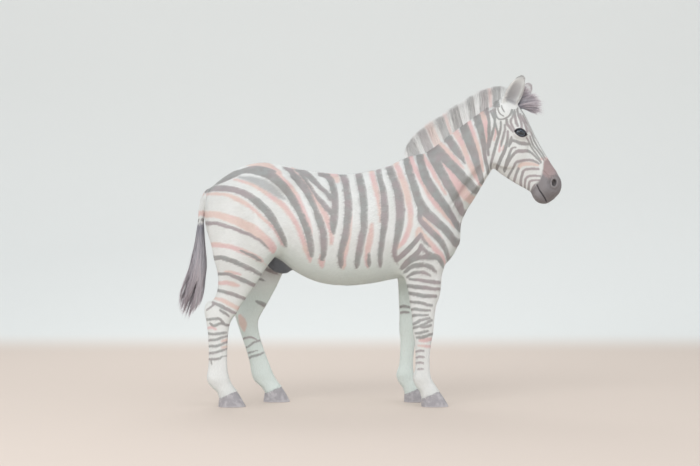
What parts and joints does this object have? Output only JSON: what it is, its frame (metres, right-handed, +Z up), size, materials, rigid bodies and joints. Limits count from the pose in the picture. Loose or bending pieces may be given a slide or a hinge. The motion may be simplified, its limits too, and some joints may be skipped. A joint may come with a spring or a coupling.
{
  "type": "zebra",
  "caption": "Life-size standing plains zebra with its head raised, ears pricked, a hind leg set forward and the tail hanging.",
  "frame": {"origin": "on the floor under the middle of the bounding box, level with the soles of the hooves", "axes": "+X forward towards the muzzle, +Y towards the animal's left side, +Z up"},
  "size_m": [2.0565, 0.4834, 1.7649],
  "materials": {
    "coat": "short striped hair on hide",
    "muzzle": "bare dark skin",
    "mane": "upright banded hair",
    "tail": "long loose hair",
    "sheath": "bare dark skin",
    "hoof": "grey horn",
    "eye": "wet dark eye"
  },
  "bodies": {
    "root": {"head": "coat", "muzzle": "muzzle", "neck": "coat", "chest": "coat", "barrel": "coat", "hindquarters": "coat", "ear_right": "coat", "eye_right": "eye", "ear_left": "coat", "eye_left": "eye", "forearm_right": "coat", "forecannon_right": "coat", "forehoof_right": "hoof", "forearm_left": "coat", "forecannon_left": "coat", "forehoof_left": "hoof", "thigh_right": "coat", "hindcannon_right": "coat", "hindhoof_right": "hoof", "thigh_left": "coat", "hindcannon_left": "coat", "hindhoof_left": "hoof", "mane": "mane", "forelock": "mane", "tail_dock": "coat", "tail_tuft": "tail", "sheath": "sheath"}
  },
  "joints": []
}
